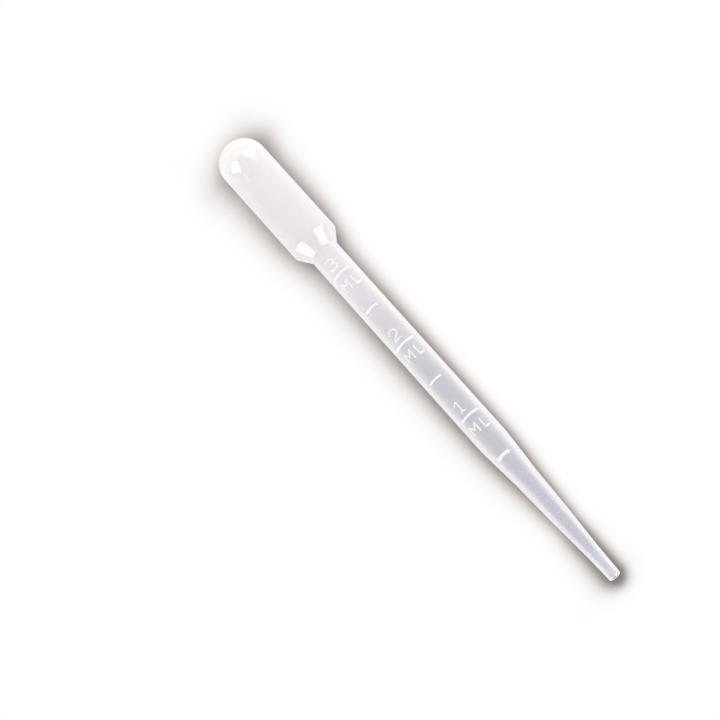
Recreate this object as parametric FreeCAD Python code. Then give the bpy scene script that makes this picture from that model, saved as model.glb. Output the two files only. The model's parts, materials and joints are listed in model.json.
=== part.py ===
import FreeCAD, Part
import math
import os

# A graduated plastic dropper pipette, blow-moulded in one piece: a squeeze bulb with a domed end,
# a short conical shoulder, a straight stem, a long taper and a fine open nozzle, hollow throughout.
# It lies as it would on a table: the bulb's shoulder edge and the lower end of the stem touch z = 0
# and the nozzle hovers just clear. +X runs from the bulb to the nozzle, and the graduations face
# up. The origin is the middle of the bounding box's base. Sizes are in millimetres.

Vector = FreeCAD.Vector

# overall form, outside
LENGTH = 155.0            # from the bulb's domed end to the nozzle's open end
BULB_R = 6.6
BULB_LENGTH = 36.9        # domed end to shoulder edge
SHOULDER_LENGTH = 4.05    # cone from bulb to stem
STEM_R = 4.03
UPPER_TAPER_LENGTH = 12.0
MIDDLE_TAPER_LENGTH = 13.0
LOWER_TAPER_LENGTH = 12.1
NOZZLE_LENGTH = 8.4
UPPER_TAPER_R = 3.13      # at the lower end of each taper
MIDDLE_TAPER_R = 2.60
LOWER_TAPER_R = 1.87
NOZZLE_R = 1.60           # at the open end

# blown walls, which thicken towards the nozzle
BULB_WALL = 0.45
STEM_WALL = 0.51
TAPER_WALL = 0.63
NOZZLE_WALL = 0.68
TIP_WALL = 0.70

# rounding where one stretch turns into the next
SHOULDER_BLEND = 0.7
NECK_BLEND = 0.6
TAPER_BLEND = 40.0
NOZZLE_BLEND = 60.0
LIP_BLEND = 0.30

# raised graduations: a long bar at each whole millilitre and a short one at each half
GRADUATION_STEP = 500.0   # cubic millimetres between two bars
BAR_WIDTH = 0.66          # along the stem
LOWEST_BAR_WIDTH = 1.0    # the one on the taper is broader
BAR_HEIGHT = 0.20         # proud of the wall
BAR_ROOT = 0.10           # how far a bar's section runs on into the wall
LONG_BAR_HALF_ANGLE = 45.5
SHORT_BAR_HALF_ANGLE = 25.0
LETTERING_ROOM = 5.0      # plain stem kept above the topmost bar for its number


class Corner:
    """A turn of the outline: its station along the axis, outside radius, wall and rounding."""

    def __init__(self, station, radius, wall, blend):
        self.place = Vector(station, 0, radius)
        self.wall = wall
        self.blend = blend


def outside_corners():
    """The outline's corners from the end of the dome to the open tip."""
    nozzle = LENGTH - NOZZLE_LENGTH
    lower = nozzle - LOWER_TAPER_LENGTH
    middle = lower - MIDDLE_TAPER_LENGTH
    stem_end = middle - UPPER_TAPER_LENGTH
    neck = BULB_LENGTH + SHOULDER_LENGTH
    return [
        Corner(BULB_R, BULB_R, BULB_WALL, 0),
        Corner(BULB_LENGTH, BULB_R, BULB_WALL, SHOULDER_BLEND),
        Corner(neck, STEM_R, STEM_WALL, NECK_BLEND),
        Corner(stem_end, STEM_R, STEM_WALL, TAPER_BLEND),
        Corner(middle, UPPER_TAPER_R, TAPER_WALL, TAPER_BLEND),
        Corner(lower, MIDDLE_TAPER_R, TAPER_WALL, TAPER_BLEND),
        Corner(nozzle, LOWER_TAPER_R, NOZZLE_WALL, NOZZLE_BLEND),
        Corner(LENGTH, NOZZLE_R, TIP_WALL, LIP_BLEND),
    ]


def turn_at(before, corner, after):
    """How far the outline turns at a corner, in radians: positive towards the axis."""
    way_in, way_out = corner - before, after - corner
    return math.atan2(way_in.z, way_in.x) - math.atan2(way_out.z, way_out.x)


def bore_corners(outside):
    """The outside corners moved in by the wall, each along the line that halves its corner."""
    inside = []
    for i, corner in enumerate(outside):
        first, last = i == 0, i == len(outside) - 1
        before = corner.place - Vector(1, 0, 0) if first else outside[i - 1].place
        after = corner.place + (corner.place - before) if last else outside[i + 1].place
        turn = turn_at(before, corner.place, after)
        way_in = math.atan2((corner.place - before).z, (corner.place - before).x)
        inward = way_in - turn / 2 - math.pi / 2
        reach = corner.wall / math.cos(turn / 2)
        moved = corner.place + Vector(math.cos(inward), 0, math.sin(inward)) * reach
        if last:
            moved.x = corner.place.x
        blend = max(corner.blend - math.copysign(corner.wall, turn), 0) if corner.blend else 0
        inside.append(Corner(moved.x, moved.z, corner.wall, blend))
    return inside


class Rounding:
    """The arc of a given radius that rounds the corner between two straight runs."""

    def __init__(self, before, corner, after, radius):
        back = (before - corner).normalize()
        ahead = (after - corner).normalize()
        half = back.getAngle(ahead) / 2
        middle = (back + ahead).normalize()
        self.radius = radius
        self.start = corner + back * (radius / math.tan(half))
        self.end = corner + ahead * (radius / math.tan(half))
        self.centre = corner + middle * (radius / math.sin(half))
        self.crown = self.centre - middle * radius


def line(start, end):
    return Part.LineSegment(start, end).toShape()


def arc(start, middle, end):
    return Part.Arc(start, middle, end).toShape()


def roundings(corners):
    """The arc at each corner that has a neighbour on both sides."""
    places = [corner.place for corner in corners]
    return [
        Rounding(places[i - 1], places[i], places[i + 1], corners[i].blend)
        for i in range(1, len(corners) - 1)
    ]


def runs_and_arcs(corners, end):
    """Edges from the first corner to the given end, with every corner between them rounded."""
    edges = []
    here = corners[0].place
    for rounding in roundings(corners):
        edges.append(line(here, rounding.start))
        edges.append(arc(rounding.start, rounding.crown, rounding.end))
        here = rounding.end
    edges.append(line(here, end))
    return edges


def lip_rounding(outside, inside):
    """The arc round the outer edge of the nozzle's cut end, whose inner edge is left sharp."""
    radius = min(LIP_BLEND, 0.5 * TIP_WALL)
    return Rounding(outside[-2].place, outside[-1].place, inside[-1].place, radius)


def dome(radius):
    """A quarter circle about the bulb end's centre, from the axis to the bulb's side."""
    centre = Vector(BULB_R, 0, 0)
    diagonal = radius / math.sqrt(2)
    return arc(
        centre - Vector(radius, 0, 0),
        centre + Vector(-diagonal, 0, diagonal),
        centre + Vector(0, 0, radius),
    )


def moulded_body(outside, inside):
    """The hollow wall: the outline of its section, turned about the axis."""
    lip = lip_rounding(outside, inside)
    edges = [dome(BULB_R)]
    edges += runs_and_arcs(outside, lip.start)
    edges.append(arc(lip.start, lip.crown, lip.end))
    edges.append(line(lip.end, inside[-1].place))
    edges += runs_and_arcs(inside, inside[-1].place)
    edges.append(dome(BULB_R - BULB_WALL))
    edges.append(line(Vector(0, 0, 0), Vector(BULB_WALL, 0, 0)))
    section = Part.Face(Part.Wire(Part.__sortEdges__(edges)))
    # turned from underneath, so that the seam of the round faces stays clear of the bars
    section.rotate(Vector(0, 0, 0), Vector(1, 0, 0), 180)
    return section.revolve(Vector(0, 0, 0), Vector(1, 0, 0), 360)


def station_holding(volume, inside):
    """The station up to which the bore, filled from the nozzle, holds a volume; None past its end."""
    for lower, upper in zip(inside[:0:-1], inside[-2::-1]):
        run = lower.place.x - upper.place.x
        near, far = lower.place.z, upper.place.z
        held = math.pi * run * (near ** 2 + near * far + far ** 2) / 3
        if volume > held:
            volume -= held
            continue
        widening = (far - near) / run
        if abs(widening) < 1e-9:
            return lower.place.x - volume / (math.pi * near ** 2)
        radius = (near ** 3 + 3 * widening * volume / math.pi) ** (1 / 3)
        return lower.place.x - (radius - near) / widening
    return None


def surface_at(station, outside):
    """The outside radius at a station and the slope of the wall there, in radians."""
    stretches = zip(outside, outside[1:])
    upper, lower = next(ends for ends in stretches if station <= ends[1].place.x)
    run, rise = lower.place.x - upper.place.x, lower.place.z - upper.place.z
    return upper.place.z + rise * (station - upper.place.x) / run, math.atan2(rise, run)


def bar_section(width, whole):
    """A bar's section, whole or from its middle line out: a low crown that runs on into the wall."""
    half = width / 2
    radius = (half ** 2 + BAR_HEIGHT ** 2) / (2 * BAR_HEIGHT)
    centre = Vector(0, 0, BAR_HEIGHT - radius)
    top, base = Vector(0, 0, BAR_HEIGHT), Vector(0, 0, -BAR_ROOT)
    foot = base + Vector(math.sqrt(radius ** 2 - (base.z - centre.z) ** 2), 0, 0)
    if whole:
        far = Vector(-foot.x, 0, foot.z)
        return Part.Face(Part.Wire([arc(far, top, foot), line(foot, far)]))
    between = centre + (top + foot - centre * 2).normalize() * radius
    return Part.Face(Part.Wire([arc(top, between, foot), line(foot, base), line(base, top)]))


def graduation(station, half_angle, width, outside):
    """A raised bar across the top of the stem, with round ends."""
    radius, slope = surface_at(station, outside)
    axis, origin = Vector(1, 0, 0), Vector(0, 0, 0)
    seat = FreeCAD.Placement(
        Vector(station, 0, radius), FreeCAD.Rotation(Vector(0, 1, 0), -math.degrees(slope))
    )
    section = bar_section(width, whole=True)
    section.Placement = seat
    section.rotate(origin, axis, -half_angle)
    ends = []
    for side in (-1, 1):
        end = bar_section(width, whole=False).revolve(origin, Vector(0, 0, 1), 360)
        end.Placement = seat
        end.rotate(origin, axis, side * half_angle)
        ends.append(end)
    return section.revolve(origin, axis, 2 * half_angle).multiFuse(ends)


def graduations(outside, inside):
    """One bar at every step that the stem has room for, counted up from the nozzle."""
    neck = outside[2].place.x
    bars = []
    while True:
        count = len(bars) + 1
        station = station_holding(count * GRADUATION_STEP, inside)
        if station is None or station < neck + LETTERING_ROOM:
            return bars
        half_angle = SHORT_BAR_HALF_ANGLE if count % 2 else LONG_BAR_HALF_ANGLE
        width = LOWEST_BAR_WIDTH if count == 1 else BAR_WIDTH
        bars.append(graduation(station, half_angle, width, outside))


def rest_tilt(outside, lip):
    """How far the nozzle end drops before something past the shoulder meets the table."""
    shoulder, *others = roundings(outside)
    drops = []
    for i, other in enumerate(others + [lip]):
        if i < len(others):
            places = [corner.place for corner in outside[i + 1:i + 4]]
            if turn_at(*places) < 0:
                continue
        along = other.centre.x - shoulder.centre.x
        across = other.centre.z - shoulder.centre.z
        lead = (shoulder.radius - other.radius) / math.hypot(along, across)
        drops.append(math.asin(lead) - math.atan2(across, along))
    return min(drops)


def laid_down(shape, outside, inside):
    """The shape tilted to its rest and moved so that the origin is the middle of its box's base."""
    lip = lip_rounding(outside, inside)
    tilt = rest_tilt(outside, lip)
    shoulder = roundings(outside)[0]
    sine, cosine = math.sin(tilt), math.cos(tilt)
    low = -shoulder.centre.x * sine - shoulder.centre.z * cosine - shoulder.radius
    bulb_end = BULB_R * cosine - BULB_R
    tip_end = lip.centre.x * cosine + lip.centre.z * sine + lip.radius
    shape.rotate(Vector(0, 0, 0), Vector(0, 1, 0), math.degrees(tilt))
    shape.translate(Vector(-(bulb_end + tip_end) / 2, 0, -low))
    return shape


def pipette():
    """The moulded wall with its bars, as one solid at rest."""
    outside = outside_corners()
    inside = bore_corners(outside)
    body = moulded_body(outside, inside)
    whole = body.multiFuse(graduations(outside, inside)).removeSplitter()
    return laid_down(whole.Solids[0], outside, inside)


os.makedirs("parts", exist_ok=True)
pipette().exportStep("parts/pipette.step")
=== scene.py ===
import json
import math

import bpy
import numpy as np
from mathutils import Matrix, Vector


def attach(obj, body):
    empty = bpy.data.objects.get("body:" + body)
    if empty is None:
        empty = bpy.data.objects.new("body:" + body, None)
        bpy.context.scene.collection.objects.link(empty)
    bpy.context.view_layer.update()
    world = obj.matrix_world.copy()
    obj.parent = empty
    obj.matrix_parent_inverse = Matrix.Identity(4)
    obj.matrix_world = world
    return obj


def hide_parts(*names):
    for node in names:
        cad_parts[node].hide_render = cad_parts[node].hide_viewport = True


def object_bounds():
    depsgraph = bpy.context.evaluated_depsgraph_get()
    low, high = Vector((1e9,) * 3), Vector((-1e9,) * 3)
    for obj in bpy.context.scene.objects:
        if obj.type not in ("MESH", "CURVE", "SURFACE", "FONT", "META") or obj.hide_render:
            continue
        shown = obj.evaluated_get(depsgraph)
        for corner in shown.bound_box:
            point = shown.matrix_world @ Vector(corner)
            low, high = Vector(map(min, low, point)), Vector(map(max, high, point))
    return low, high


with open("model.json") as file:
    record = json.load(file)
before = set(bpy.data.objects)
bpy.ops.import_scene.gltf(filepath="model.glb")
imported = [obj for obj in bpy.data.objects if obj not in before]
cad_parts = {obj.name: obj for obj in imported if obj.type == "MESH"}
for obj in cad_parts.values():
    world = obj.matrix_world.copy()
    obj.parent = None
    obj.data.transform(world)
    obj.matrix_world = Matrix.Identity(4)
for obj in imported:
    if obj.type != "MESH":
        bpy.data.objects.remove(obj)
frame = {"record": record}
cad_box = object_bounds()

MM = 0.001

# The pipette's own sizes, in millimetres and degrees, as the CAD part has them.
LENGTH = 155.0
BULB_R, BULB_LENGTH, SHOULDER_LENGTH = 6.6, 36.9, 4.05
STEM_R = 4.03
TAPER_LENGTHS = (12.0, 13.0, 12.1)
TAPER_RADII = (3.13, 2.60, 1.87)     # at the lower end of each of those lengths
NOZZLE_LENGTH, NOZZLE_R = 8.4, 1.60
BULB_WALL, STEM_WALL, TAPER_WALL, NOZZLE_WALL, TIP_WALL = 0.45, 0.51, 0.63, 0.68, 0.70
SHOULDER_BLEND, NECK_BLEND, TAPER_BLEND, NOZZLE_BLEND, LIP_BLEND = 0.7, 0.6, 40.0, 60.0, 0.30
GRADUATION_STEP = 500.0              # the bore's volume from one bar to the next, in cubic millimetres
BAR_WIDTH, LOWEST_BAR_WIDTH, BAR_HEIGHT = 0.66, 1.0, 0.20
LONG_BAR_HALF_ANGLE, SHORT_BAR_HALF_ANGLE = 45.5, 25.0
LETTERING_ROOM = 5.0                 # from the neck to the highest bar, at least
STRAIGHT = 1e-9                      # a bore that widens less than this, per millimetre, is straight

# Lettering: raised strokes, in millimetres. A glyph's own width is in its strokes.
STROKE_WIDTH, STROKE_HEIGHT = 0.46, 0.15
NUMBER_TALL, NUMBER_GAP = 3.15, 1.70     # the gap is from the bar's middle line to the number's foot
UNIT_TALL, UNIT_GAP = 2.70, 2.30         # and to the unit's top
NUMBER_ASIDE, M_ASIDE, L_ASIDE = -0.05, -0.83, 2.33   # each glyph's middle, across the stem

# How close the mesh's rows and columns lie, in millimetres and degrees.
MARK_PITCH = 0.09                    # rows at the marks
FLAT_MARGIN = 0.2                    # how far those rows go on past a mark, so that its slope ends there
BULB_PITCH, STEM_PITCH, BORE_PITCH = 2.4, 1.4, 4.0          # rows elsewhere
MARKED_HALF_ANGLE, MARK_TURN, PLAIN_TURN = 57.0, 1.3, 5.7   # columns, closer up to that angle from the top
ROUNDING_POINTS, GLYPH_ARC_POINTS, CUT_POINTS = 7, 14, 4
DOME_POINTS, BORE_DOME_POINTS = 25, 27


# ---------------------------------------------------------------- shape
def outside_corners():
    """Stations, radii, walls and roundings of the outline, from the dome's end to the open tip."""
    nozzle = LENGTH - NOZZLE_LENGTH
    lower = nozzle - TAPER_LENGTHS[2]
    middle = lower - TAPER_LENGTHS[1]
    stem_end = middle - TAPER_LENGTHS[0]
    return [
        (BULB_R, BULB_R, BULB_WALL, 0.0),
        (BULB_LENGTH, BULB_R, BULB_WALL, SHOULDER_BLEND),
        (BULB_LENGTH + SHOULDER_LENGTH, STEM_R, STEM_WALL, NECK_BLEND),
        (stem_end, STEM_R, STEM_WALL, TAPER_BLEND),
        (middle, TAPER_RADII[0], TAPER_WALL, TAPER_BLEND),
        (lower, TAPER_RADII[1], TAPER_WALL, TAPER_BLEND),
        (nozzle, TAPER_RADII[2], NOZZLE_WALL, NOZZLE_BLEND),
        (LENGTH, NOZZLE_R, TIP_WALL, LIP_BLEND),
    ]


def bore_corners(outside):
    """The outside corners moved in by the wall, each along the line that halves its corner."""
    inside = []
    for i, (station, radius, wall, blend) in enumerate(outside):
        here = np.array((station, radius))
        before = here - (1, 0) if i == 0 else np.array(outside[i - 1][:2])
        after = np.array(outside[i + 1][:2]) if i + 1 < len(outside) else 2 * here - before
        way_in = math.atan2(*(here - before)[::-1])
        turn = way_in - math.atan2(*(after - here)[::-1])
        inward = way_in - turn / 2 - math.pi / 2
        moved = here + wall / math.cos(turn / 2) * np.array((math.cos(inward), math.sin(inward)))
        if i + 1 == len(outside):
            moved[0] = station
        rounded = max(blend - math.copysign(wall, turn), 0) if blend else 0
        inside.append((moved[0], moved[1], wall, rounded))
    return inside


def rounding(before, corner, after, radius):
    """Points on the arc of this radius that rounds a corner."""
    before, corner, after = (np.array(point[:2], float) for point in (before, corner, after))
    back, ahead = before - corner, after - corner
    back, ahead = back / np.linalg.norm(back), ahead / np.linalg.norm(ahead)
    half = math.acos(np.clip(back @ ahead, -1, 1)) / 2
    middle = (back + ahead) / np.linalg.norm(back + ahead)
    centre = corner + middle * radius / math.sin(half)
    sweep = math.pi / 2 - half
    side = ahead - (ahead @ middle) * middle
    side /= np.linalg.norm(side)
    angles = np.linspace(-sweep, sweep, ROUNDING_POINTS)
    return [centre + radius * (math.sin(a) * side - math.cos(a) * middle) for a in angles]


def outline(corners, end):
    """The run from the first corner to the end, with the corners between them rounded."""
    points = [np.array(corners[0][:2], float)]
    for before, corner, after in zip(corners, corners[1:], corners[2:]):
        points += rounding(before, corner, after, corner[3])
    return np.array(points + [np.array(end, float)])


def bore_stations(inside):
    """The station of each graduation: how far up the bore every further step of volume reaches."""
    stations, volume = [], 0.0
    neck = BULB_LENGTH + SHOULDER_LENGTH
    for lower, upper in zip(inside[:0:-1], inside[-2::-1]):
        run, near, far = lower[0] - upper[0], lower[1], upper[1]
        held = math.pi * run * (near ** 2 + near * far + far ** 2) / 3
        widening = (far - near) / run
        while volume + held >= GRADUATION_STEP * (len(stations) + 1):
            more = GRADUATION_STEP * (len(stations) + 1) - volume
            if abs(widening) < STRAIGHT:
                reach = more / (math.pi * near ** 2)
            else:
                reach = ((near ** 3 + 3 * widening * more / math.pi) ** (1 / 3) - near) / widening
            if lower[0] - reach < neck + LETTERING_ROOM:
                return stations
            stations.append(lower[0] - reach)
        volume += held
    return stations


def arc_points(centre, radii, start, end):
    """Points on an ellipse's arc; angles in degrees, anticlockwise from the right."""
    angles = np.radians(np.linspace(start, end, GLYPH_ARC_POINTS))
    return np.stack([centre[0] + radii[0] * np.cos(angles), centre[1] + radii[1] * np.sin(angles)], 1)


def glyph(name):
    """Strokes of a letter or number as polylines, one unit tall, its middle at 0 across."""
    if name == "1":
        return [np.array([(-0.24, 0.80), (0.02, 1.0), (0.02, 0.0)]), np.array([(-0.18, 0.0), (0.21, 0.0)])]
    if name == "2":
        bowl = arc_points((0.0, 0.70), (0.32, 0.30), 175, -42)
        return [np.vstack([bowl, [(-0.31, 0.0), (0.34, 0.0)]])]
    if name == "3":
        top = arc_points((-0.01, 0.765), (0.35, 0.235), 155, -90)
        low = arc_points((-0.01, 0.265), (0.39, 0.265), 90, -155)
        return [np.vstack([top, low[1:]])]
    if name == "M":
        return [np.array([(-0.37, 0.0), (-0.37, 1.0), (0.0, 0.42), (0.37, 1.0), (0.37, 0.0)])]
    if name == "L":
        return [np.array([(-0.24, 1.0), (-0.24, 0.0), (0.24, 0.0)])]
    raise ValueError(name)


def placed(name, tall, middle, foot):
    """A glyph's strokes in millimetres: across the stem, and up towards the bulb."""
    return [line * tall + (middle, foot) for line in glyph(name)]


def distance_to(strokes, across, up):
    """The least distance from each point to a set of polylines."""
    least = np.full(across.shape, np.inf)
    for line in strokes:
        for start, end in zip(line, line[1:]):
            run = end - start
            share = np.clip(((across - start[0]) * run[0] + (up - start[1]) * run[1]) / (run @ run), 0, 1)
            off = np.hypot(across - start[0] - share * run[0], up - start[1] - share * run[1])
            least = np.minimum(least, off)
    return least


def crown(distance, width, height):
    """The height of a raised stroke of circular section at a distance from its middle line."""
    half = width / 2
    radius = (half ** 2 + height ** 2) / (2 * height)
    inside = np.sqrt(np.maximum(radius ** 2 - distance ** 2, 0)) - (radius - height)
    return np.where(distance < half, np.maximum(inside, 0), 0)


def bar_width(count):
    """The lowest bar, which is the first, is the widest."""
    return LOWEST_BAR_WIDTH if count == 1 else BAR_WIDTH


def raised(stations, angles, radii, marks):
    """How far the moulded marks stand proud, at stations and at angles in radians from the top.

    Every second bar, which stands for a whole millilitre, is long and has a number and the unit.
    """
    height = np.zeros(stations.shape)
    for count, mark in enumerate(marks, 1):
        half = math.radians(SHORT_BAR_HALF_ANGLE if count % 2 else LONG_BAR_HALF_ANGLE)
        along = stations - mark
        past = np.maximum(np.abs(angles) - half, 0) * radii
        height = np.maximum(height, crown(np.hypot(along, past), bar_width(count), BAR_HEIGHT))
        if count % 2:
            continue
        strokes = placed(str(count // 2), NUMBER_TALL, NUMBER_ASIDE, NUMBER_GAP)
        strokes += placed("M", UNIT_TALL, M_ASIDE, -UNIT_GAP - UNIT_TALL)
        strokes += placed("L", UNIT_TALL, L_ASIDE, -UNIT_GAP - UNIT_TALL)
        off = distance_to(strokes, angles * radii, -along)
        height = np.maximum(height, crown(off, STROKE_WIDTH, STROKE_HEIGHT))
    return height


# ---------------------------------------------------------------- mesh
def spaced(start, end, pitch):
    """Even places from the start up to the end, without the end, about one pitch apart."""
    count = max(1, round((end - start) / pitch))
    return list(np.linspace(start, end, count + 1)[:-1])


def dome_rows(radius, points):
    """The rows of a dome of this radius round the centre of the bulb's end, without the dome's own ends."""
    angles = np.radians(np.linspace(0, 90, points)[1:-1])
    return [(BULB_R - radius * math.cos(a), radius * math.sin(a)) for a in angles]


def marked_bands(marks):
    """The stretches of the stem that the bars, the numbers and the units take up, with their margins."""
    bands = []
    for count, mark in enumerate(marks, 1):
        reach = LOWEST_BAR_WIDTH / 2 + FLAT_MARGIN     # every bar has the room of the widest
        bands.append((mark - reach, mark + reach))
        if count % 2 == 0:
            reach = STROKE_WIDTH / 2 + FLAT_MARGIN
            bands.append((mark - NUMBER_GAP - NUMBER_TALL - reach, mark - NUMBER_GAP + reach))
            bands.append((mark + UNIT_GAP - reach, mark + UNIT_GAP + UNIT_TALL + reach))
    return sorted(bands)


def outer_rows(outside, marks, lip_start):
    """Stations and radii of the outer skin's rows, close together where the marks are."""
    line = outline(outside, lip_start)
    bands = marked_bands(marks)
    stations = [s for s, _ in line if not any(low < s < high for low, high in bands)]
    for low, high in bands:
        stations += spaced(low, high, MARK_PITCH) + [high]
    stations.sort()
    rows = []
    for here, after in zip(stations, stations[1:]):
        pitch = BULB_PITCH if after < BULB_LENGTH else STEM_PITCH
        rows += spaced(here, after, pitch) if after - here > pitch else [here]
    rows.append(stations[-1])
    radii = np.interp(rows, line[:, 0], line[:, 1])
    return np.array(dome_rows(BULB_R, DOME_POINTS) + list(zip(rows, radii)))


def inner_rows(inside):
    """Stations and radii of the bore's rows."""
    line = outline(inside, inside[-1][:2])
    rows = []
    for here, after in zip(line, line[1:]):
        count = max(1, round((after[0] - here[0]) / BORE_PITCH))
        rows += [tuple(here + (after - here) * i / count) for i in range(count)]
    return np.array(dome_rows(BULB_R - BULB_WALL, BORE_DOME_POINTS) + rows + [tuple(line[-1])])


def columns():
    """Angles from the top round the stem, in radians, close together where the marks are."""
    half = MARKED_HALF_ANGLE
    rest = 360 - 2 * half
    fine = list(np.linspace(-half, half, round(2 * half / MARK_TURN) + 1))
    plain = list(np.linspace(half, half + rest, round(rest / PLAIN_TURN) + 1)[1:-1])
    return np.radians(fine + [a if a <= 180 else a - 360 for a in plain])


def wall_faces(row_count, column_count, bore_start):
    """The faces from row to row and at the two poles, and for each whether it is the bore's."""
    faces, in_bore = [], []
    pairs = [(j, (j + 1) % column_count) for j in range(column_count)]
    for row in range(row_count - 1):
        here, after = row * column_count, (row + 1) * column_count
        faces += [(here + j, after + j, after + k, here + k) for j, k in pairs]
        in_bore += [row >= bore_start] * column_count
    last = (row_count - 1) * column_count
    outer_pole, inner_pole = row_count * column_count, row_count * column_count + 1
    for j, k in pairs:
        faces += [(outer_pole, j, k), (inner_pole, last + k, last + j)]
        in_bore += [False, True]
    return faces, in_bore


def pipette_mesh():
    """The whole wall as one closed mesh: the outer skin with its marks, the lip, the cut tip, the bore."""
    outside = outside_corners()
    inside = bore_corners(outside)
    marks = bore_stations(inside)
    lip = rounding(outside[-2], outside[-1], inside[-1], LIP_BLEND)
    outer = outer_rows(outside, marks, lip[0])
    cut = [(LENGTH, radius) for radius in np.linspace(lip[-1][1], inside[-1][1], CUT_POINTS)[1:-1]]
    rows = np.vstack([outer, lip[1:], cut, inner_rows(inside)[::-1]])
    stations, angles = np.meshgrid(rows[:, 0], columns(), indexing="ij")
    radii = np.repeat(rows[:, 1:], angles.shape[1], 1)
    skin = slice(len(outer))
    proud = raised(stations[skin], angles[skin], radii[skin], marks)
    radii[skin] += proud

    rings = np.stack([stations, radii * np.sin(angles), radii * np.cos(angles)], -1).reshape(-1, 3)
    points = np.vstack([rings, [(0.0, 0.0, 0.0), (BULB_WALL, 0.0, 0.0)]])
    world = (np.array(PLACEMENT) @ np.vstack([points.T * MM, np.ones(len(points))]))[:3].T
    faces, in_bore = wall_faces(*angles.shape, len(outer) + len(lip) - 1 + len(cut))
    mesh = bpy.data.meshes.new("pipette_moulding")
    mesh.from_pydata(world.tolist(), [], faces)
    mesh.shade_smooth()
    moulded = np.zeros(len(points), np.float32)
    moulded[:proud.size] = np.clip(proud / STROKE_HEIGHT, 0, 1).ravel()
    mesh.attributes.new("moulded", "FLOAT", "POINT").data.foreach_set("value", moulded)
    mesh.polygons.foreach_set("material_index", np.array(in_bore, np.int32))
    return mesh


# ---------------------------------------------------------------- directions in the frame
def set_up(x, y, z, origin):
    """The matrix that turns a thing's own axes to these directions and puts it at this place."""
    return Matrix([(x[i], y[i], z[i], origin[i]) for i in range(3)] + [(0, 0, 0, 1)])


def axis_placement():
    """The matrix from the pipette's own axes (station, side, up, in metres) to the frame."""
    mount = frame["record"]["mounts"][0]
    along = Vector(mount["axis"]).normalized()
    side = Vector((0, 1, 0))
    corner = math.atan2(BULB_R - STEM_R, SHOULDER_LENGTH)
    stem_start = BULB_LENGTH + SHOULDER_LENGTH + NECK_BLEND * math.tan(corner / 2)
    station = (stem_start + mount["dims"]["length_mm"] / 2) * MM
    return set_up(along, side, along.cross(side), Vector(mount["pos_m"]) - along * station)


PLACEMENT = axis_placement()
MIDDLE = PLACEMENT @ Vector((LENGTH / 2 * MM, 0, 0))

# The camera looks down on the graduations, leaning to the nozzle and a little to their right.
CAMERA_LEAN, CAMERA_ASIDE, CAMERA_ROLL = 21.55, 10.0, 41.91   # degrees
CAMERA_DISTANCE = 0.650
CAMERA_LENS, CAMERA_SENSOR = 130.0, 36.0                      # millimetres
CAMERA_CLIP = (0.01, 20.0)
MIDDLE_RIGHT, MIDDLE_ABOVE = 0.0134, 0.0020                   # where the middle lies in the picture


def direction(near_part, right_part, along_part):
    """A direction in the frame, from parts towards the camera's side, to its right and along the axis."""
    along, side, up = (Vector(PLACEMENT.col[i][:3]) for i in range(3))
    turn = math.radians(CAMERA_ASIDE)
    near = math.cos(turn) * up + math.sin(turn) * side
    right = math.cos(turn) * side - math.sin(turn) * up
    return near_part * near + right_part * right + along_part * along


def add_camera():
    lean, roll = math.radians(CAMERA_LEAN), math.radians(CAMERA_ROLL)
    towards = direction(math.cos(lean), 0, math.sin(lean))
    down_axis = direction(-math.sin(lean), 0, math.cos(lean))
    across = direction(0, 1, 0)
    right = math.sin(roll) * down_axis + math.cos(roll) * across
    up = -math.cos(roll) * down_axis + math.sin(roll) * across
    place = MIDDLE + towards * CAMERA_DISTANCE
    aim = MIDDLE - right * MIDDLE_RIGHT - up * MIDDLE_ABOVE
    back = (place - aim).normalized()
    x = up.cross(back).normalized()
    data = bpy.data.cameras.new("camera")
    data.lens, data.sensor_width = CAMERA_LENS, CAMERA_SENSOR
    data.clip_start, data.clip_end = CAMERA_CLIP
    camera = bpy.data.objects.new("camera", data)
    camera.matrix_world = set_up(x, back.cross(x), back, place)
    bpy.context.scene.collection.objects.link(camera)
    bpy.context.scene.camera = camera


# ---------------------------------------------------------------- shader nodes
def colour(tone):
    """A colour as it is, or one level as a grey."""
    return tone if isinstance(tone, tuple) else (tone, tone, tone)


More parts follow.
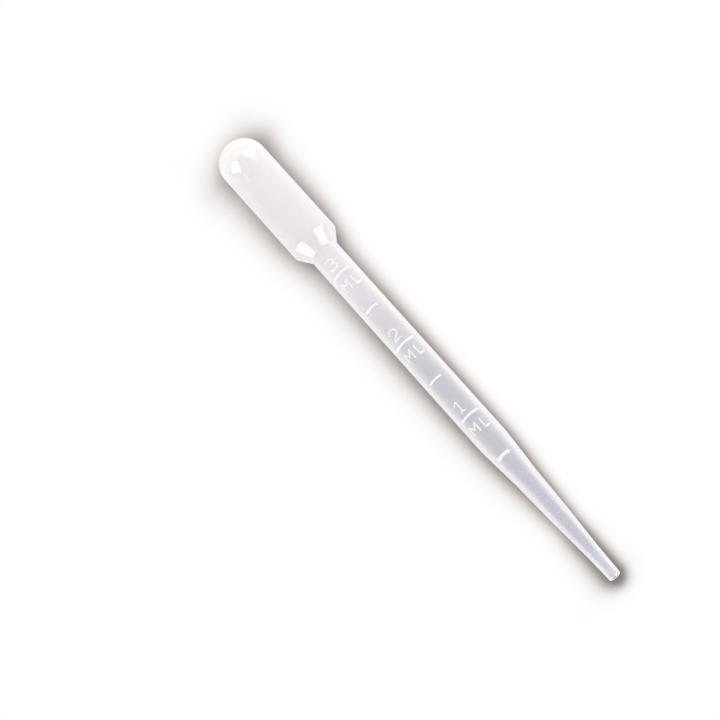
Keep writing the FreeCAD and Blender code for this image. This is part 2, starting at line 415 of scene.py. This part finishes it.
class Shader:
    """A node tree, and short ways to add what the looks here are made of."""

    def __init__(self, tree):
        tree.nodes.clear()
        self.nodes, self.links = tree.nodes, tree.links

    def give(self, socket, value):
        """Sets an input to a constant, or links another node's output to it."""
        if isinstance(value, bpy.types.NodeSocket):
            self.links.new(value, socket)
        elif socket.type == "RGBA":
            socket.default_value = (*colour(value), 1)
        else:
            socket.default_value = value

    def add(self, kind, **inputs):
        """A node with some of its inputs given by name, with _ for a space."""
        node = self.nodes.new("ShaderNode" + kind)
        for name, value in inputs.items():
            self.give(node.inputs[name.replace("_", " ")], value)
        return node

    def maths(self, operation, a, b):
        """The output of one operation on two values."""
        node = self.add("Math")
        node.operation = operation
        self.give(node.inputs[0], a)
        self.give(node.inputs[1], b)
        return node.outputs[0]

    def vector_maths(self, operation, *values):
        """The node of one operation on vectors, since some give a vector and some a value."""
        node = self.add("VectorMath")
        node.operation = operation
        for socket, value in zip(node.inputs, values):
            self.give(socket, value)
        return node

    def ramp(self, factor, stops):
        """A run of straight lines from stop to stop, each a place with its colour or level."""
        node = self.add("ValToRGB", Fac=factor)
        node.color_ramp.interpolation = "LINEAR"
        while len(node.color_ramp.elements) < len(stops):
            node.color_ramp.elements.new(0.5)
        for element, (place, tone) in zip(node.color_ramp.elements, stops):
            element.position = place
            element.color = (*colour(tone), 1)
        return node.outputs["Color"]

    def blend(self, factor, a, b, mode="MIX"):
        """Two colours or levels blended, from the first to the second."""
        node = self.add("Mix")
        node.data_type, node.blend_type = "RGBA", mode
        for place, value in ((0, factor), (6, a), (7, b)):     # 6 and 7 are the node's two colours
            self.give(node.inputs[place], value)
        return node.outputs[2]

    def mix(self, factor, first, second):
        """Two shaders mixed, from the first to the second."""
        node = self.add("MixShader", Fac=factor)
        self.give(node.inputs[1], first.outputs[0])
        self.give(node.inputs[2], second.outputs[0])
        return node

    def along(self):
        """A point's share of the pipette's length, 0 at the dome's end and 1 at the tip, and its place."""
        place = self.add("TexCoord").outputs["Object"]
        split = self.add("SeparateXYZ", Vector=place)
        low, high = cad_box
        share = self.add("MapRange", Value=split.outputs["X"], From_Min=low[0], From_Max=high[0])
        return share.outputs[0], place

    def noise(self, place, scale, stretch=(1, 1, 1), detail=2.0):
        """Smooth noise from 0 to 1; a stretch under 1 draws it out along that axis."""
        drawn = self.vector_maths("MULTIPLY", place, stretch).outputs[0]
        return self.add("TexNoise", Vector=drawn, Scale=scale, Detail=detail).outputs["Fac"]

    def shifted(self, value, by, amount):
        """A value moved up or down by noise from 0 to 1, by half the amount at most."""
        moved = self.maths("MULTIPLY", self.maths("SUBTRACT", by, 0.5), amount)
        return self.maths("ADD", value, moved)


def new_material(name):
    mat = bpy.data.materials.new(name)
    mat.use_nodes = True
    return mat, Shader(mat.node_tree)


# ---------------------------------------------------------------- materials
# Stops give a place and its colour or level. Along the pipette, 0 is the dome's end and 1 the tip.
CLOUD_GRAIN, CLOUD_REACH = 260.0, 0.020     # soft clouds, and how far they push the stops to and fro
FLOW_GRAIN, FLOW_STRETCH, FLOW_DETAIL = 420.0, (0.16, 1, 1), 3.0     # streaks along the flow of the plastic
FLOW_DENSITY = 0.07                  # how much they change the density
PEEL_GRAIN, PEEL_STRETCH = 900.0, (0.6, 1, 1)                        # the fine unevenness of the mould
PEEL_STRENGTH, PEEL_DEPTH = 0.12, 0.00004

# The wall's colour along the pipette is partly painted shade: it darkens and greys from the dome towards
# the tip, and dips at the cone, to stand in for shade, over the plastic's own milky, faintly lavender tint.
TINT_AND_SHADE_STOPS = [
    (0.0, (0.99, 0.945, 0.895)), (0.024, (0.99, 0.935, 0.885)), (0.033, (0.90, 0.845, 0.84)),
    (0.07, (0.93, 0.88, 0.88)), (0.225, (0.945, 0.89, 0.89)), (0.25, (0.895, 0.825, 0.89)),
    (0.285, (0.935, 0.87, 0.935)), (0.36, (0.87, 0.80, 0.875)), (0.55, (0.66, 0.64, 0.705)),
    (0.80, (0.62, 0.60, 0.69)), (0.93, (0.615, 0.605, 0.69)), (1.0, (0.64, 0.63, 0.71))]
# The colour at the rims, where the wall is seen edge on: partly the deeper, whiter wall there, partly a
# painted sheen.
RIM_TINT_AND_SHEEN_STOPS = [
    (0.0, (0.99, 0.945, 0.895)), (0.028, (0.99, 0.94, 0.89)), (0.038, (0.955, 0.925, 0.93)),
    (0.24, (0.955, 0.925, 0.935)), (0.32, (0.985, 0.96, 0.98)), (0.60, (0.98, 0.965, 0.98)),
    (1.0, (0.94, 0.925, 0.95))]
DENSITY_STOPS = [
    (0.0, 0.98), (0.024, 0.96), (0.034, 0.58), (0.06, 0.68), (0.22, 0.70), (0.30, 0.64), (0.80, 0.70),
    (1.0, 0.88)]
SLIM_STOPS = [(0.60, 1.0), (0.80, 0.60)]     # how much of its usual breadth the rim has
STREAK_STOPS = [(0.30, 0.98), (0.70, 1.0)]   # the tint over the flow's noise
RIM_STOPS = [(0.10, 0.0), (0.26, 0.40), (0.44, 0.95), (0.60, 1.0)]   # the rim's paler colour over the turn from the eye, partly a painted sheen
THICK_STOPS = [(0.20, 0.0), (0.44, 0.50), (0.75, 1.0)]               # the depth of wall over that turn
# The marks' colour: whiter, as the thicker plastic is, and partly a painted highlight on the raised
# strokes.
MARK_TINT_AND_GLINT = (0.99, 0.985, 0.99)
THICK_DENSITY, MARK_DENSITY = 0.95, 0.97
LET_THROUGH = 0.65                   # the share of the density that holds up neither lamps nor reflections
WALL_IOR, WALL_ROUGHNESS, WALL_UNEVEN = 1.51, 0.13, 0.08
MILK = 0.20                          # the share of the scattered light that goes on through the wall

SHINE_STOPS = [(0.043, 1.0), (0.054, 0.0), (0.94, 0.0), (0.98, 0.5)]  # where along the bore its shine shows
SHINE_IOR, SHINE_TINT, SHINE_ROUGHNESS, SHINE_UNEVEN = 2.3, 0.97, 0.11, 0.05

SHADE_REACH, SHADE_SAMPLES = 0.027, 32       # how far off the pipette shades the floor, in metres
SHADE_SPREAD = 13.0      # how the floor's upward look leans to the middle, per metre towards each end
SHADE_LEAN = 0.22        # and its lean to the picture's right, which deepens the shade on the left
GATHER_STOPS = [(0.005, 0.38), (0.030, 0.16), (0.060, 0.0), (0.88, 0.0), (0.95, 0.45), (1.0, 0.85)]
SHADE_GATHER = 1.2       # how much deeper the shade is at the two ends, by those stops
SHADE_STOPS = [          # the floor's tone over the open share of the sky
    (0.0, (0.11, 0.098, 0.096)), (0.50, (0.28, 0.252, 0.245)), (0.61, (0.475, 0.435, 0.42)),
    (0.71, (0.76, 0.715, 0.695)), (0.785, (0.94, 0.92, 0.91)), (0.85, 1.0)]
SEEN_THROUGH, SEEN_MIRRORED, FLOOR_TONE = 0.62, 0.95, 0.90   # behind the wall (a painted shade of the floor under it), in a gloss, to other light
FLOOR_HALF = 3.0


def ldpe():
    """Milky soft polyethylene: part clear, part scattering, whiter and denser at the rims and the marks;
    painted shade darkens it along the pipette, and part of the white at rims and marks is painted sheen and
    highlight.
    """
    mat, shader = new_material("milky_ldpe")
    share, place = shader.along()
    clouds = shader.noise(place, CLOUD_GRAIN)
    flow = shader.noise(place, FLOW_GRAIN, FLOW_STRETCH, FLOW_DETAIL)
    share = shader.shifted(share, clouds, CLOUD_REACH)
    turned = shader.add("LayerWeight").outputs["Facing"]
    moulded = shader.add("Attribute")
    moulded.attribute_name = "moulded"
    mark = moulded.outputs["Fac"]

    # The colour: the tint with its painted shade, streaked by the flow; paler at the rims, partly by a
    # painted sheen; whiter at the marks, partly by a painted highlight.
    streaked_and_shaded = shader.blend(
        1.0, shader.ramp(share, TINT_AND_SHADE_STOPS), shader.ramp(flow, STREAK_STOPS), "MULTIPLY")
    rim = shader.ramp(shader.maths("DIVIDE", turned, shader.ramp(share, SLIM_STOPS)), RIM_STOPS)
    body = shader.blend(rim, streaked_and_shaded, shader.ramp(share, RIM_TINT_AND_SHEEN_STOPS))
    body = shader.blend(mark, body, MARK_TINT_AND_GLINT)

    density = shader.shifted(shader.ramp(share, DENSITY_STOPS), flow, FLOW_DENSITY)
    density = shader.blend(shader.ramp(turned, THICK_STOPS), density, THICK_DENSITY)
    density = shader.blend(mark, density, MARK_DENSITY)
    path = shader.add("LightPath")
    lit = shader.maths("MAXIMUM", path.outputs["Is Shadow Ray"], path.outputs["Is Glossy Ray"])
    kept = shader.maths("SUBTRACT", 1.0, shader.maths("MULTIPLY", lit, LET_THROUGH))

    bump = shader.add("Bump", Strength=PEEL_STRENGTH, Distance=PEEL_DEPTH,
                      Height=shader.noise(place, PEEL_GRAIN, PEEL_STRETCH))
    skin = shader.add("BsdfPrincipled", Base_Color=body, IOR=WALL_IOR, Normal=bump.outputs[0],
                      Roughness=shader.shifted(WALL_ROUGHNESS, clouds, WALL_UNEVEN))
    milk = shader.mix(MILK, skin, shader.add("BsdfTranslucent", Color=body))
    wall = shader.mix(shader.maths("MULTIPLY", density, kept), shader.add("BsdfTransparent"), milk)
    shader.add("OutputMaterial", Surface=wall.outputs[0])
    return mat


def bore():
    """The smooth inner skin, which adds only its shine, in the dome and at the mouth."""
    mat, shader = new_material("bore_ldpe")
    share, place = shader.along()
    uneven = shader.shifted(SHINE_ROUGHNESS, shader.noise(place, CLOUD_GRAIN), SHINE_UNEVEN)
    shine = shader.add("BsdfGlossy", Color=SHINE_TINT, Roughness=uneven)
    mirrored = shader.add("Fresnel", IOR=SHINE_IOR).outputs[0]
    gloss = shader.maths("MULTIPLY", mirrored, shader.ramp(share, SHINE_STOPS))
    surface = shader.mix(gloss, shader.add("BsdfTransparent"), shine)
    shader.add("OutputMaterial", Surface=surface.outputs[0])
    return mat


def pale_floor():
    """White to the camera, darkened softly where the pipette shuts out the light.

    What shows through the milky wall is one mid tone, a painted shade of the floor under it, and
    reflections show it nearly white.
    """
    mat, shader = new_material("pale_floor")
    mat.cycles.emission_sampling = "NONE"
    spot = shader.add("SeparateXYZ", Vector=shader.add("NewGeometry").outputs["Position"])
    inward = shader.maths("MULTIPLY", spot.outputs["X"], -SHADE_SPREAD)
    slope = shader.add("CombineXYZ", X=inward, Y=SHADE_LEAN, Z=1.0)
    upward = shader.vector_maths("NORMALIZE", slope.outputs[0]).outputs[0]
    shut = shader.add("AmbientOcclusion", Distance=SHADE_REACH, Normal=upward)
    shut.samples = SHADE_SAMPLES
    share, _ = shader.along()
    gather = shader.maths("MULTIPLY", shader.ramp(share, GATHER_STOPS), SHADE_GATHER)
    open_sky = shader.maths("POWER", shut.outputs["AO"], shader.maths("ADD", gather, 1.0))

    path = shader.add("LightPath")
    behind = shader.maths("MINIMUM", path.outputs["Transparent Depth"], 1.0)
    mirrored = shader.maths("MAXIMUM", path.outputs["Is Glossy Ray"], path.outputs["Is Transmission Ray"])
    tone = shader.blend(behind, shader.ramp(open_sky, SHADE_STOPS), SEEN_THROUGH)
    tone = shader.blend(mirrored, tone, SEEN_MIRRORED)
    looked_at = shader.maths("MAXIMUM", path.outputs["Is Camera Ray"], mirrored)
    seen = shader.add("Emission", Color=tone)
    surface = shader.mix(looked_at, shader.add("BsdfDiffuse", Color=FLOOR_TONE), seen)
    shader.add("OutputMaterial", Surface=surface.outputs[0])
    return mat


# ---------------------------------------------------------------- piece, floor and lights
# Each gleam's turn from the camera's side, in degrees, and its width, in metres.
GLEAMS = {"gleam_left": (-74.5, 1.14), "gleam_right": (58.5, 1.04)}
GLEAM_LEAN, GLEAM_DISTANCE, GLEAM_HEIGHT, GLEAM_RADIANCE = 31, 1.2, 1.20, 9.5
WORLD_LEVEL, WORLD_RIGHT = 0.98, 0.70    # the light from all round, and how much more comes from the right


def add_pipette():
    mesh = pipette_mesh()
    piece = bpy.data.objects.new("moulded_pipette", mesh)
    bpy.context.scene.collection.objects.link(piece)
    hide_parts("pipette")
    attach(piece, "root")
    mesh.materials.append(ldpe())
    mesh.materials.append(bore())


def add_floor():
    mesh = bpy.data.meshes.new("floor")
    corners = [(-1, -1), (1, -1), (1, 1), (-1, 1)]
    mesh.from_pydata([(x * FLOOR_HALF, y * FLOOR_HALF, 0) for x, y in corners], [], [(0, 1, 2, 3)])
    floor = bpy.data.objects.new("floor", mesh)
    bpy.context.scene.collection.objects.link(floor)
    mesh.materials.append(pale_floor())


def add_gleam(name, azimuth, width):
    """A rectangular lamp that faces the pipette and shows only mirrored in its gloss.

    Its azimuth turns round the pipette's axis, from the camera's side to the picture's right, and it
    leans to the tip.
    """
    turn, lean = math.radians(azimuth), math.radians(GLEAM_LEAN)
    data = bpy.data.lights.new(name, "AREA")
    data.shape, data.size, data.size_y = "RECTANGLE", width, GLEAM_HEIGHT
    data.energy = GLEAM_RADIANCE * width * GLEAM_HEIGHT * math.pi
    lamp = bpy.data.objects.new(name, data)
    towards = direction(math.cos(turn) * math.cos(lean), math.sin(turn) * math.cos(lean), math.sin(lean))
    across = direction(0, 0, 1).cross(towards).normalized()
    lamp.matrix_world = set_up(across, towards.cross(across), towards, MIDDLE + towards * GLEAM_DISTANCE)
    lamp.visible_diffuse = False
    bpy.context.scene.collection.objects.link(lamp)


def add_world():
    """Soft light from all round, more from the picture's right, and white to the camera and in a gloss."""
    world = bpy.data.worlds.new("studio")
    world.use_nodes = True
    shader = Shader(world.node_tree)
    outward = shader.add("TexCoord").outputs["Generated"]
    right = shader.vector_maths("DOT_PRODUCT", outward, direction(0, 1, 0).normalized()).outputs["Value"]
    square = shader.maths("POWER", shader.maths("MAXIMUM", right, 0.0), 2.0)
    strength = shader.maths("ADD", shader.maths("MULTIPLY", square, WORLD_RIGHT), WORLD_LEVEL)
    path = shader.add("LightPath")
    seen = shader.maths("MAXIMUM", path.outputs["Is Camera Ray"], path.outputs["Is Glossy Ray"])
    sky = shader.add("Background", Color=shader.blend(seen, strength, 1.0))
    shader.add("OutputWorld", Surface=sky.outputs[0])
    world.cycles.sampling_method = "NONE"
    bpy.context.scene.world = world


add_pipette()
add_floor()
add_camera()
for gleam, (azimuth, width) in GLEAMS.items():
    add_gleam(gleam, azimuth, width)
add_world()
bpy.context.scene.view_settings.view_transform = "Standard"
